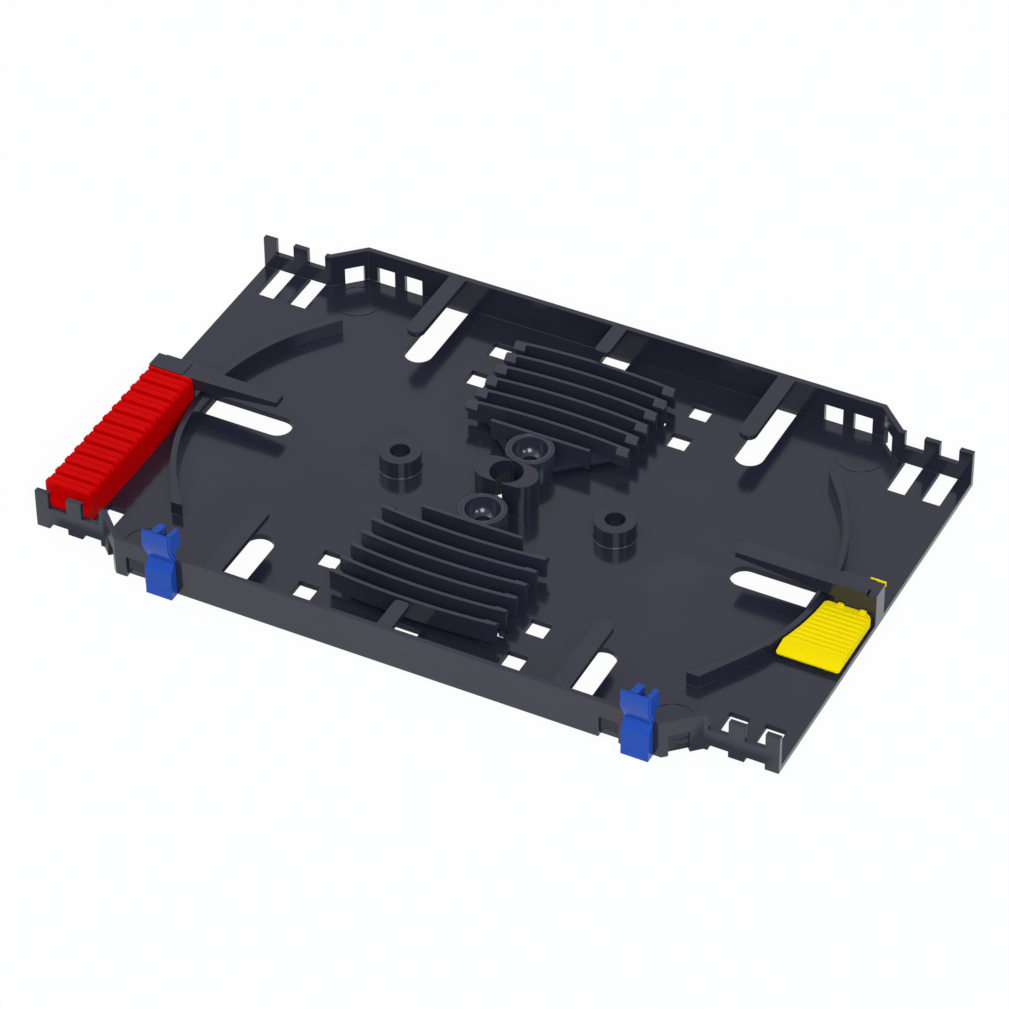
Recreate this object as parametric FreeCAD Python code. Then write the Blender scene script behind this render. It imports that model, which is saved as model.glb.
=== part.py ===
"""Fibre splice tray with two splice combs, two coloured fibre combs and two wall clips.

Frame: X along the tray's long side, Y across it (the clipped wall at -Y), Z up.
The origin is on the axis of the centre bore, at the underside of the tray.
Lengths are millimetres. A setback is measured inwards from the tray's end at X,
and a reach is measured inwards from the outer face of the long wall at Y.
"""
import FreeCAD, Part
import math
import os

V = FreeCAD.Vector
UP = V(0, 0, 1)

# Tray floor and walls
TRAY_LENGTH = 200.0
TRAY_WIDTH = 130.4
TRAY_HEIGHT = 11.0
FLOOR = 1.7
WALL = 1.45
END_STEP = 7.1
CHAMFER_START_SETBACK = 26.7
CHAMFER_END_SETBACK = 19.2

# Entries at the four corners: two notches in the wall, each over a slot in the floor
NOTCH_SETBACKS = (18.2, 8.85)
NOTCH_LENGTH = 5.15
SILL_HEIGHT = 6.45
ENTRY_SLOT_DEPTH = 12.8
ENTRY_SLOT_LENGTH = 5.2

# Windows in the long walls and in the chamfers
WINDOW_LENGTH = 5.1
WINDOW_HEIGHT = 6.3
WINDOW_SETBACKS = (40.35, 32.34)
CHAMFER_WINDOW_LENGTH = 5.2
CHAMFER_WINDOW_SHIFT = 0.8

# Holding fingers along the walls, over slots in the floor
HOLDER_THICKNESS = 1.5
FINGER_SETBACK = 53.45
FINGER_WIDTH = 4.7
FINGER_REACH = 26.7
FINGER_SLOT_WIDTH = 7.5
SLOT_MARGIN = 0.3
MID_FINGER_WIDTH = 4.0
MID_FINGER_REACH = 12.5
MID_SLOT_WIDTH = 7.4
MID_SLOT_REACH = 12.8
MID_CORNER = 1.2

# End arms over slots in the floor, each carried by a full-height end wall
ARM_WIDTH = 5.1
ARM_TIP_SETBACK = 37.1
ARM_DROP = 0.3
ARM_ROOT_THICKNESS = 4.2
ARM_TIP_RADIUS = 0.4
ARM_SLOT_START_SETBACK = 39.1
LEFT_ARM_SLOT_SETBACK = 15.6
RIGHT_ARM_SLOT_SETBACK = 17.6
ARM_SLOT_WIDTH = 7.5
END_WALL_SETBACK = 11.5
END_PAD_LENGTH = 9.3
END_PAD_STEP = 0.3
END_SLIT_SETBACK = 2.8
END_SLIT_WIDTH = 0.95
END_SLIT_DEPTH = 1.2
END_SLIT_REAR_Y = 1.0

# Guide arcs for the fibre bend radius, straight and thicker towards both ends
GUIDE_END_GAP = 15.05
GUIDE_INNER_R = 57.35
GUIDE_THICKNESS = 1.6
GUIDE_RISE = 3.7
GUIDE_END_Y = 41.3
GUIDE_OUTER_STRAIGHT_FROM = 31.0
GUIDE_INNER_STRAIGHT_FROM = 37.0

# Round posts, centre boss and floor openings
POST_X = 29.67
POST_R = 5.35
POST_BORE_R = 2.55
POST_HEIGHT = 6.6
HUB_BORE_R = 4.25
HUB_HEIGHT = 10.8
HUB_LENGTH = 16.7
HUB_WIDTH = 9.1
HUB_SPLIT = 1.8
FLOOR_HOLE_SIZE = 5.45
FLOOR_HOLE_X = 28.27
FLOOR_HOLE_REACHES = (25.9, 13.2)
STACK_RING_SETBACK = 29.0
STACK_RING_REACH = 10.9
STACK_RING_R = 6.4
STACK_RING_WIDTH = 0.6
STACK_RING_RISE = 0.15

# Splice combs
COMB_SCREW_Y = 12.85
COMB_BOSS_R = 6.2
COMB_BOSS_TOP = 8.6
SCREW_HOLE_R = 2.25
COMB_HOLE_R = 2.9
COUNTERSINK_R = 4.46
COUNTERSINK_DEPTH = 3.8
RIB_COUNT = 6
RIB_PITCH = 5.3
RIB_HALF_LENGTH = 22.4
RIB_THICKNESS = 1.0
RIB_BOTTOM = 3.0
RIB_TOP = 8.75
RIB_BULGE = 1.3
FIRST_RIB_Y = 23.4
SHORT_RIB_HALF_LENGTH = 13.7
SHORT_RIB_Y = 19.0
BARB_LENGTH = 3.1
BARB_REACH = 1.15
BARB_DROP = 1.1
BARB_HEIGHT = 2.2
COMB_PLATE = 1.0
PLATE_SETBACK = 4.8
WEB_HALF_WIDTH = 5.9
HOOK_RIB = 4
HOOK_INSET = 1.3
HOOK_LENGTH = 1.7
HOOK_THICKNESS = 1.0
HOOK_SETBACK = 0.35
HOOK_HOLE_LENGTH = 2.6
HOOK_HOLE_WIDTH = 3.0

# Gap between the end walls and the combs that stand in front of them
END_WALL_GAP = 0.1

# Red fibre comb: pairs of fins on a foot
RED_SETBACK = 0.25
RED_LENGTH = 12.55
RED_FRONT_Y = -53.4
RED_PAIRS = 11
RED_PITCH = 4.54
RED_PAIR_GAP = 2.05
RED_FIN = 1.65
RED_TOP = 10.8
RED_LOW_FIN_DROP = 0.5
RED_FIN_BOTTOM = 4.4
RED_LEFT_CORNER = 0.8
RED_RIGHT_CORNER = 1.5
RED_FOOT_SETBACK = 1.35
RED_FOOT_TOP = 5.4

# Yellow fibre comb: a grooved flange with a ramp in front, on a smaller foot
YELLOW_TOP = 5.15
YELLOW_FLANGE_BOTTOM = 3.0
YELLOW_FOOT_SETBACK = 1.5
YELLOW_RIM = 1.0
YELLOW_CLEARANCE = 0.45
YELLOW_END_SETBACK = 0.3
YELLOW_FRONT_Y = -23.5
YELLOW_FRONT_SETBACK = 17.0
YELLOW_RAMP_Y = -19.8
YELLOW_RAMP_EDGE = 0.3
YELLOW_REAR_CORNER = 1.5
YELLOW_CORNER = 0.7
YELLOW_RIBS = 10
YELLOW_RIB_PITCH = 1.54
YELLOW_RIB = 0.75
YELLOW_GROOVE_DEPTH = 1.1
YELLOW_RIB_DROP = 0.15
YELLOW_LUG_SETBACKS = (8.9, 3.1)
YELLOW_LUG_LENGTH = 2.0
YELLOW_LUG_RISE = 1.15
TAB_SETBACK = 0.05
TAB_LENGTH = 4.1
TAB_THICKNESS = 0.4
TAB_RISE = 0.1

# Wall clips: how far each level of the plate stands out from the wall
CLIP_WIDTH = 7.2
CLIP_TOP = 19.9
CLIP_WALL_GAP = 0.05
CLIP_FOOT_Y = 2.8
CLIP_SHOULDER_Y = 2.55
CLIP_SHOULDER_Z = 8.0
CLIP_WAIST_Y = 0.75
CLIP_WAIST_Z = 10.2
CLIP_HEAD_Y = 3.2
CLIP_HEAD_Z = 15.2
CLIP_PLATE = 0.95
EAR_REACH = 2.15
EAR_BOTTOM = 13.8
EAR_FALL = 0.9
LEFT_EAR_START = 2.0
LEFT_EAR_WIDTH = 2.0
RIGHT_EAR_WIDTH = 1.4
RIGHT_EAR_OVERHANG = 0.4
TONGUE_CLEARANCE = 0.2
TONGUE_BARB = 0.9
TONGUE_HOLD = 0.7

HALF_LENGTH = TRAY_LENGTH / 2
HALF_WIDTH = TRAY_WIDTH / 2
HALF_END = HALF_WIDTH - END_STEP
WALL_INNER_Y = HALF_WIDTH - WALL
END_INNER_Y = HALF_END - WALL
CHAMFER_START = HALF_LENGTH - CHAMFER_START_SETBACK
CHAMFER_END = HALF_LENGTH - CHAMFER_END_SETBACK
END_WALL_X = HALF_LENGTH - END_WALL_SETBACK
GUIDE_CENTRE_X = HALF_LENGTH - GUIDE_END_GAP - GUIDE_INNER_R
GUIDE_OUTER_R = GUIDE_INNER_R + GUIDE_THICKNESS
HOLDER_BOTTOM = TRAY_HEIGHT - HOLDER_THICKNESS
HOOK_X = RIB_HALF_LENGTH - HOOK_INSET
INSERT_REAR_Y = -ARM_WIDTH / 2 - END_WALL_GAP
BEYOND = 1.0


def box(x0, x1, y0, y1, z0, z1):
    """Block between two corners, given in any order."""
    low = V(min(x0, x1), min(y0, y1), min(z0, z1))
    return Part.makeBox(abs(x1 - x0), abs(y1 - y0), abs(z1 - z0), low)


def cylinder(x, y, radius, z0, z1):
    return Part.makeCylinder(radius, z1 - z0, V(x, y, z0), UP)


def prism(points, z0, z1):
    """Upright prism on a closed outline of (x, y) points."""
    corners = [V(x, y, z0) for x, y in points]
    return Part.Face(Part.makePolygon(corners + corners[:1])).extrude(V(0, 0, z1 - z0))


def plate_along_x(points, x0, x1):
    """Prism along X on a closed outline of (y, z) points."""
    corners = [V(x0, y, z) for y, z in points]
    return Part.Face(Part.makePolygon(corners + corners[:1])).extrude(V(x1 - x0, 0, 0))


def join(solids):
    first, *rest = solids
    return first.multiFuse(rest).removeSplitter() if rest else first


def mirrored(shape, across_x=False, across_y=False):
    """Copy on the other side of the YZ plane, the XZ plane or both."""
    if across_x:
        shape = shape.mirror(V(0, 0, 0), V(1, 0, 0))
    if across_y:
        shape = shape.mirror(V(0, 0, 0), V(0, 1, 0))
    return shape


def four_corners(shape):
    return [mirrored(shape, a, b) for a in (False, True) for b in (False, True)]


def two_ends(shape):
    return [shape, mirrored(shape, across_x=True)]


def two_sides(shape):
    return [shape, mirrored(shape, across_y=True)]


def tongue(x, width, tip_y, root_y, z0, z1):
    """Bar along Y with a half-round tip, its tip at tip_y and its root at root_y."""
    radius = width / 2
    bar = box(x - radius, x + radius, tip_y + radius, root_y, z0, z1)
    return join([bar, cylinder(x, tip_y + radius, radius, z0, z1)])


def round_edges(shape, radius, keep):
    """Rounds the straight edges for which keep(bound box) is true."""
    return shape.makeFillet(radius, [e for e in shape.Edges if keep(e.BoundBox)])


def is_upright(bounds):
    return bounds.XLength < 1e-6 and bounds.YLength < 1e-6


def is_across(bounds):
    return bounds.XLength < 1e-6 and bounds.ZLength < 1e-6


def tray_outline():
    """The tray's plan as an eight-sided outline."""
    quarter = [(HALF_LENGTH, HALF_END), (CHAMFER_END, HALF_END), (CHAMFER_START, HALF_WIDTH)]
    left = [(-x, y) for x, y in reversed(quarter)]
    rear = quarter + left
    return rear + [(x, -y) for x, y in reversed(rear)]


def chamfer_frame():
    """Middle, direction and outward normal of the rear right chamfer."""
    along = V(CHAMFER_END - CHAMFER_START, HALF_END - HALF_WIDTH, 0)
    middle = V(CHAMFER_START, HALF_WIDTH, 0) + along * 0.5
    along.normalize()
    return middle, along, V(-along.y, along.x, 0)


def wall_band():
    """Wall along the rear side, from one end of the tray to the other."""
    _, along, normal = chamfer_frame()
    corner = V(CHAMFER_START, HALF_WIDTH, 0) - normal * WALL
    inner_start = corner + along * ((WALL_INNER_Y - corner.y) / along.y)
    inner_end = corner + along * ((END_INNER_Y - corner.y) / along.y)
    outer = [(HALF_LENGTH, HALF_END), (CHAMFER_END, HALF_END), (CHAMFER_START, HALF_WIDTH)]
    inner = [(HALF_LENGTH, END_INNER_Y), (inner_end.x, END_INNER_Y),
             (inner_start.x, WALL_INNER_Y)]
    outer += [(-x, y) for x, y in reversed(outer)]
    inner += [(-x, y) for x, y in reversed(inner)]
    return prism(outer + inner[::-1], 0, TRAY_HEIGHT)


def wall_windows():
    """Openings through the rear wall and its two chamfers, open at the bottom."""
    cuts = []
    half = WINDOW_LENGTH / 2
    for setback in WINDOW_SETBACKS:
        centre = HALF_LENGTH - setback
        window = box(centre - half, centre + half, WALL_INNER_Y, HALF_WIDTH + BEYOND,
                     -BEYOND, WINDOW_HEIGHT)
        cuts += two_ends(window)
    middle, along, normal = chamfer_frame()
    middle -= along * CHAMFER_WINDOW_SHIFT
    side = along * (CHAMFER_WINDOW_LENGTH / 2)
    inner = middle - normal * WALL
    outer = middle + normal * BEYOND
    corners = [inner - side, inner + side, outer + side, outer - side]
    cuts += two_ends(prism([(p.x, p.y) for p in corners], -BEYOND, WINDOW_HEIGHT))
    return cuts


def entry_notches():
    """Cable entries at one corner: a notch over a sill and a slot in the floor below."""
    cuts = []
    for setback in NOTCH_SETBACKS:
        start = HALF_LENGTH - setback
        cuts.append(box(start, start + NOTCH_LENGTH, END_INNER_Y - BEYOND, HALF_END + BEYOND,
                        SILL_HEIGHT, TRAY_HEIGHT + BEYOND))
        cuts.append(box(start, start + ENTRY_SLOT_LENGTH, HALF_END - ENTRY_SLOT_DEPTH,
                        HALF_END + BEYOND, -BEYOND, FLOOR))
    return cuts


def arm_slot(end_setback):
    """Slot in the floor under the right arm, with a half-round inner end."""
    half = ARM_SLOT_WIDTH / 2
    start = HALF_LENGTH - ARM_SLOT_START_SETBACK + half
    straight = box(start, HALF_LENGTH - end_setback, -half, half, -BEYOND, FLOOR + BEYOND)
    return join([straight, cylinder(start, 0, half, -BEYOND, FLOOR + BEYOND)])


def floor_slots():
    """Slots under the holding fingers and arms, and the square floor holes."""
    finger_slot = tongue(HALF_LENGTH - FINGER_SETBACK, FINGER_SLOT_WIDTH,
                         HALF_WIDTH - FINGER_REACH - SLOT_MARGIN, WALL_INNER_Y,
                         -BEYOND, FLOOR + BEYOND)
    half = MID_SLOT_WIDTH / 2
    mid_slot = box(-half, half, HALF_WIDTH - MID_SLOT_REACH, WALL_INNER_Y,
                   -BEYOND, FLOOR + BEYOND)
    cuts = four_corners(finger_slot) + two_sides(mid_slot)
    cuts.append(arm_slot(RIGHT_ARM_SLOT_SETBACK))
    cuts.append(mirrored(arm_slot(LEFT_ARM_SLOT_SETBACK), across_x=True))
    side = FLOOR_HOLE_SIZE / 2
    for reach in FLOOR_HOLE_REACHES:
        y = HALF_WIDTH - reach
        hole = box(FLOOR_HOLE_X - side, FLOOR_HOLE_X + side, y - side, y + side,
                   -BEYOND, FLOOR + BEYOND)
        cuts += four_corners(hole)
    return cuts


def hook_y():
    """Outer face of the comb's hook, just inside the rib that carries it."""
    return FIRST_RIB_Y + HOOK_RIB * RIB_PITCH - HOOK_SETBACK


def hook_hole():
    """Floor opening that takes a comb's hook."""
    inner = hook_y() - HOOK_THICKNESS - SLOT_MARGIN
    half = HOOK_HOLE_LENGTH / 2
    return box(HOOK_X - half, HOOK_X + half, inner, inner + HOOK_HOLE_WIDTH,
               -BEYOND, FLOOR + BEYOND)


def end_arm():
    """Arm at the right end: thin at its rounded tip and deeper towards the end wall."""
    half = ARM_WIDTH / 2
    tip = HALF_LENGTH - ARM_TIP_SETBACK
    root = END_WALL_X + WALL
    top = TRAY_HEIGHT - ARM_DROP
    corners = [V(tip, -half, top - HOLDER_THICKNESS), V(tip, -half, top), V(root, -half, top),
               V(root, -half, top - ARM_ROOT_THICKNESS)]
    bar = Part.Face(Part.makePolygon(corners + corners[:1])).extrude(V(0, ARM_WIDTH, 0))
    return round_edges(bar, ARM_TIP_RADIUS,
                       lambda b: is_across(b) and b.XMax < tip + WALL and b.ZMin > top - WALL / 2)


def holders():
    """Fingers and arms that keep the fibres down, near the level of the wall tops."""
    root_y = WALL_INNER_Y + WALL / 2
    finger = tongue(HALF_LENGTH - FINGER_SETBACK, FINGER_WIDTH, HALF_WIDTH - FINGER_REACH,
                    root_y, HOLDER_BOTTOM, TRAY_HEIGHT)
    half = MID_FINGER_WIDTH / 2
    tip_y = HALF_WIDTH - MID_FINGER_REACH
    mid = box(-half, half, tip_y, root_y, HOLDER_BOTTOM, TRAY_HEIGHT)
    mid = round_edges(mid, MID_CORNER, lambda b: is_upright(b) and b.YMax < tip_y + WALL)
    return four_corners(finger) + two_sides(mid) + two_ends(end_arm())


def end_wall():
    """Full-height block at the right end that carries the arm, with a pad at its back."""
    half = ARM_WIDTH / 2
    block = box(END_WALL_X, HALF_LENGTH, -half, half, 0, TRAY_HEIGHT)
    pad = box(END_WALL_X, END_WALL_X + END_PAD_LENGTH, 0, half + END_PAD_STEP, 0, TRAY_HEIGHT)
    return block.fuse(pad)


def end_slit():
    """Narrow slit in the top of the right end wall, open to the front."""
    start = HALF_LENGTH - END_SLIT_SETBACK
    return box(start, start + END_SLIT_WIDTH, -ARM_WIDTH / 2 - BEYOND, END_SLIT_REAR_Y,
               TRAY_HEIGHT - END_SLIT_DEPTH, TRAY_HEIGHT + BEYOND)


def guide_area(radius, straight_from, z0, z1):
    """Area inside a guide face: an arc about the X axis that goes on along its tangents."""
    turn = math.radians(straight_from)
    leave = V(GUIDE_CENTRE_X + radius * math.cos(turn), radius * math.sin(turn), z0)
    far = leave + V(-math.sin(turn), math.cos(turn), 0) * (radius / 2)
    back = V(GUIDE_CENTRE_X, far.y, z0)
    below = [V(p.x, -p.y, z0) for p in (leave, far, back)]
    wire = Part.Wire([Part.makeLine(back, far), Part.makeLine(far, leave),
                      Part.Arc(leave, V(GUIDE_CENTRE_X + radius, 0, z0), below[0]).toShape(),
                      Part.makeLine(below[0], below[1]), Part.makeLine(below[1], below[2]),
                      Part.makeLine(below[2], back)])
    return Part.Face(wire).extrude(V(0, 0, z1 - z0))


def guide_arc():
    """Low curved wall round the right end of the fibre loop."""
    outer = guide_area(GUIDE_OUTER_R, GUIDE_OUTER_STRAIGHT_FROM, FLOOR / 2, FLOOR + GUIDE_RISE)
    inner = guide_area(GUIDE_INNER_R, GUIDE_INNER_STRAIGHT_FROM, 0, TRAY_HEIGHT)
    return outer.cut(inner).common(box(GUIDE_CENTRE_X + BEYOND, HALF_LENGTH,
                                       -GUIDE_END_Y, GUIDE_END_Y, 0, TRAY_HEIGHT))


def hub():
    """Split boss round the centre bore: two crescents with a slit at the front and rear."""
    radius = HUB_WIDTH / 2
    offset = HUB_LENGTH / 2 - radius
    base = FLOOR / 2
    body = join([box(-offset, offset, -radius, radius, base, HUB_HEIGHT),
                 cylinder(-offset, 0, radius, base, HUB_HEIGHT),
                 cylinder(offset, 0, radius, base, HUB_HEIGHT)])
    split = box(-HUB_SPLIT / 2, HUB_SPLIT / 2, -HUB_WIDTH, HUB_WIDTH, FLOOR, HUB_HEIGHT + BEYOND)
    return body.cut(split)


def stack_ring():
    """Faint raised ring on the floor beside a chamfer."""
    x = HALF_LENGTH - STACK_RING_SETBACK
    y = HALF_WIDTH - STACK_RING_REACH
    top = FLOOR + STACK_RING_RISE
    outer = cylinder(x, y, STACK_RING_R, FLOOR / 2, top)
    return outer.cut(cylinder(x, y, STACK_RING_R - STACK_RING_WIDTH, 0, top + BEYOND))


def tray():
    floor = prism(tray_outline(), 0, FLOOR)
    floor = floor.cut(floor_slots() + four_corners(hook_hole()))
    solids = [floor] + two_sides(wall_band()) + holders()
    solids += two_ends(end_wall()) + two_ends(guide_arc())
    solids += two_ends(cylinder(POST_X, 0, POST_R, FLOOR / 2, POST_HEIGHT))
    solids += [hub()] + four_corners(stack_ring())
    body = join(solids)
    cuts = [end_slit()]
    for cut in entry_notches():
        cuts += four_corners(cut)
    for cut in wall_windows():
        cuts += two_sides(cut)
    through = TRAY_HEIGHT + BEYOND
    cuts += two_ends(cylinder(POST_X, 0, POST_BORE_R, -BEYOND, through))
    cuts.append(cylinder(0, 0, HUB_BORE_R, -BEYOND, through))
    cuts += two_sides(cylinder(0, COMB_SCREW_Y, SCREW_HOLE_R, -BEYOND, through))
    return body.cut(cuts)


def bowed_strip(outer_y, half_length, bulge, thickness, z0, z1):
    """Strip along X whose middle bows outwards (+Y) by bulge."""
    def arc(y, reverse):
        points = [V(-half_length, y, z0), V(0, y + bulge, z0), V(half_length, y, z0)]
        if reverse:
            points.reverse()
        return Part.Arc(*points).toShape()
    outer = arc(outer_y, False)
    inner = arc(outer_y - thickness, True)
    right = Part.makeLine(V(half_length, outer_y, z0), V(half_length, outer_y - thickness, z0))
    left = Part.makeLine(V(-half_length, outer_y - thickness, z0), V(-half_length, outer_y, z0))
    return Part.Face(Part.Wire([outer, right, inner, left])).extrude(V(0, 0, z1 - z0))


def rib_barb(y):
    """Snap barb at the top of a rib's right end, ramped at its top and facing -Y."""
    face = y - RIB_THICKNESS
    root = y - RIB_THICKNESS / 2
    profile = [(root, RIB_TOP), (face, RIB_TOP), (face - BARB_REACH, RIB_TOP - BARB_DROP),
               (face - BARB_REACH, RIB_TOP - BARB_HEIGHT), (root, RIB_TOP - BARB_HEIGHT)]
    return plate_along_x(profile, RIB_HALF_LENGTH - BARB_LENGTH, RIB_HALF_LENGTH)


def comb():
    """Rear splice comb: bowed ribs on a plate, carried by a countersunk screw boss."""
    solids = []
    last_y = FIRST_RIB_Y + (RIB_COUNT - 1) * RIB_PITCH
    for k in range(RIB_COUNT):
        y = FIRST_RIB_Y + k * RIB_PITCH
        solids.append(bowed_strip(y, RIB_HALF_LENGTH, RIB_BULGE, RIB_THICKNESS,
                                  RIB_BOTTOM, RIB_TOP))
        solids += two_ends(rib_barb(y))
    solids.append(box(-SHORT_RIB_HALF_LENGTH, SHORT_RIB_HALF_LENGTH,
                      SHORT_RIB_Y - RIB_THICKNESS, SHORT_RIB_Y, RIB_BOTTOM, RIB_TOP))
    plate_half = RIB_HALF_LENGTH - PLATE_SETBACK
    plate_top = RIB_BOTTOM + COMB_PLATE
    solids.append(prism([(-WEB_HALF_WIDTH, COMB_SCREW_Y), (WEB_HALF_WIDTH, COMB_SCREW_Y),
                         (plate_half, FIRST_RIB_Y), (plate_half, last_y),
                         (-plate_half, last_y), (-plate_half, FIRST_RIB_Y)],
                        RIB_BOTTOM, plate_top))
    solids.append(cylinder(0, COMB_SCREW_Y, COMB_BOSS_R, FLOOR, COMB_BOSS_TOP))
    y = hook_y()
    leg = box(HOOK_X - HOOK_LENGTH / 2, HOOK_X + HOOK_LENGTH / 2, y - HOOK_THICKNESS, y,
              0, plate_top)
    solids += two_ends(leg)
    body = join(solids)
    hole = cylinder(0, COMB_SCREW_Y, COMB_HOLE_R, 0, COMB_BOSS_TOP + BEYOND)
    sink_base = COMB_BOSS_TOP - COUNTERSINK_DEPTH
    sink = Part.makeCone(COMB_HOLE_R, COUNTERSINK_R, COUNTERSINK_DEPTH,
                         V(0, COMB_SCREW_Y, sink_base), UP)
    return body.cut([hole, sink])


def red_fin(y0, y1, top):
    """One fin of the red comb, in the XZ plane, rounded at its left and top right."""
    x0 = RED_SETBACK - HALF_LENGTH
    x1 = x0 + RED_LENGTH
    fin = box(x0, x1, y0, y1, RED_FIN_BOTTOM, top)
    fin = round_edges(fin, RED_LEFT_CORNER, lambda b: is_across(b) and b.XMax < x0 + BEYOND)
    return round_edges(fin, RED_RIGHT_CORNER,
                       lambda b: is_across(b) and b.XMin > x1 - BEYOND and b.ZMin > top - BEYOND)


def red_comb():
    """Red comb: pairs of fins, the rear one of each pair lower, on one foot."""
    solids = []
    for k in range(RED_PAIRS + 1):
        y = RED_FRONT_Y + k * RED_PITCH
        solids.append(red_fin(y, min(y + RED_FIN, INSERT_REAR_Y), RED_TOP))
        if k < RED_PAIRS:
            low_y = y + RED_PAIR_GAP
            solids.append(red_fin(low_y, low_y + RED_FIN, RED_TOP - RED_LOW_FIN_DROP))
    x0 = RED_SETBACK - HALF_LENGTH
    solids.append(box(x0 + RED_FOOT_SETBACK, x0 + RED_LENGTH, RED_FRONT_Y, INSERT_REAR_Y,
                      FLOOR, RED_FOOT_TOP))
    return join(solids)


def yellow_outline(setback):
    """Plan of the yellow comb, moved inwards by setback: it follows the guide arc."""
    radius = GUIDE_OUTER_R + YELLOW_CLEARANCE + setback
    rear = INSERT_REAR_Y - setback
    front = YELLOW_FRONT_Y + setback
    right = HALF_LENGTH - YELLOW_END_SETBACK - setback

    def on_arc(y):
        return V(GUIDE_CENTRE_X + math.sqrt(radius ** 2 - y ** 2), y, 0)
    top = on_arc(rear)
    low = on_arc(YELLOW_RAMP_Y)
    middle = on_arc((top.y + low.y) / 2)
    front_left = V(HALF_LENGTH - YELLOW_FRONT_SETBACK + setback, front, 0)
    front_right = V(right, front, 0)
    rear_right = V(right, rear, 0)
    return Part.Wire([Part.Arc(top, middle, low).toShape(),
                      Part.makeLine(low, front_left),
                      Part.makeLine(front_left, front_right),
                      Part.makeLine(front_right, rear_right),
                      Part.makeLine(rear_right, top)])


def yellow_grooves():
    """Material taken out between the ribs of the yellow comb."""
    rear = INSERT_REAR_Y - YELLOW_RIM
    front = rear - YELLOW_RIBS * YELLOW_RIB_PITCH
    right = HALF_LENGTH - YELLOW_END_SETBACK - YELLOW_RIM
    bottom = YELLOW_TOP - YELLOW_GROOVE_DEPTH
    pocket = box(GUIDE_CENTRE_X, right, front, rear, bottom, YELLOW_TOP + BEYOND)
    rim_r = GUIDE_OUTER_R + YELLOW_CLEARANCE + YELLOW_RIM
    pocket = pocket.cut(cylinder(GUIDE_CENTRE_X, 0, rim_r, 0, TRAY_HEIGHT))
    ribs = []
    for k in range(YELLOW_RIBS):
        y = rear - (k + 1) * YELLOW_RIB_PITCH
        ribs.append(box(GUIDE_CENTRE_X, HALF_LENGTH, y, y + YELLOW_RIB,
                        0, YELLOW_TOP - YELLOW_RIB_DROP))
    return pocket.cut(ribs)


def yellow_comb():
    """Yellow comb: a flange with fibre grooves along X, a ramp in front and two lugs."""
    height = YELLOW_TOP - YELLOW_FLANGE_BOTTOM
    flange = Part.Face(yellow_outline(0)).extrude(V(0, 0, height))
    flange.translate(V(0, 0, YELLOW_FLANGE_BOTTOM))
    rear_right = HALF_LENGTH - YELLOW_END_SETBACK - BEYOND
    flange = round_edges(flange, YELLOW_REAR_CORNER, lambda b: is_upright(b)
                         and b.XMin > rear_right and b.YMin > YELLOW_RAMP_Y)
    flange = round_edges(flange, YELLOW_CORNER, lambda b: is_upright(b)
                         and (b.YMax < YELLOW_RAMP_Y - BEYOND or b.XMax < END_WALL_X
                              and b.YMin > INSERT_REAR_Y - BEYOND))
    low = YELLOW_FLANGE_BOTTOM + YELLOW_RAMP_EDGE
    ramp = plate_along_x([(YELLOW_RAMP_Y, YELLOW_TOP), (YELLOW_FRONT_Y, low),
                          (YELLOW_FRONT_Y - BEYOND, low),
                          (YELLOW_FRONT_Y - BEYOND, YELLOW_TOP + BEYOND),
                          (YELLOW_RAMP_Y, YELLOW_TOP + BEYOND)], 0, TRAY_LENGTH)
    flange = flange.cut([ramp, yellow_grooves()])
    foot = Part.Face(yellow_outline(YELLOW_FOOT_SETBACK))
    foot = foot.extrude(V(0, 0, YELLOW_FLANGE_BOTTOM + YELLOW_RAMP_EDGE / 2 - FLOOR))
    foot.translate(V(0, 0, FLOOR))
    solids = [flange, foot]
    for setback in YELLOW_LUG_SETBACKS:
        x = HALF_LENGTH - setback
        solids.append(box(x - YELLOW_LUG_LENGTH / 2, x + YELLOW_LUG_LENGTH / 2,
                          INSERT_REAR_Y - YELLOW_RIM, INSERT_REAR_Y,
                          YELLOW_FLANGE_BOTTOM, YELLOW_TOP + YELLOW_LUG_RISE))
    return join(solids)


def post_tab():
    """Thin yellow tab standing behind the right end wall, a little above its top."""
    x1 = HALF_LENGTH - TAB_SETBACK
    y0 = ARM_WIDTH / 2 + END_PAD_STEP
    return box(x1 - TAB_LENGTH, x1, y0, y0 + TAB_THICKNESS, FLOOR, TRAY_HEIGHT + TAB_RISE)


def clip_ear(face, x0, x1):
    """Gusset behind the clip's upper plate that reaches inwards over the wall."""
    root = face - CLIP_HEAD_Y + CLIP_PLATE / 2
    low = TRAY_HEIGHT + CLIP_WALL_GAP
    profile = [(root, CLIP_TOP), (face + EAR_REACH, CLIP_TOP - EAR_FALL),
               (face + EAR_REACH, EAR_BOTTOM), (face, EAR_BOTTOM), (face, low),
               (face - CLIP_WAIST_Y / 2, low), (root, CLIP_HEAD_Z)]
    return plate_along_x(profile, x0, x1)


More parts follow.
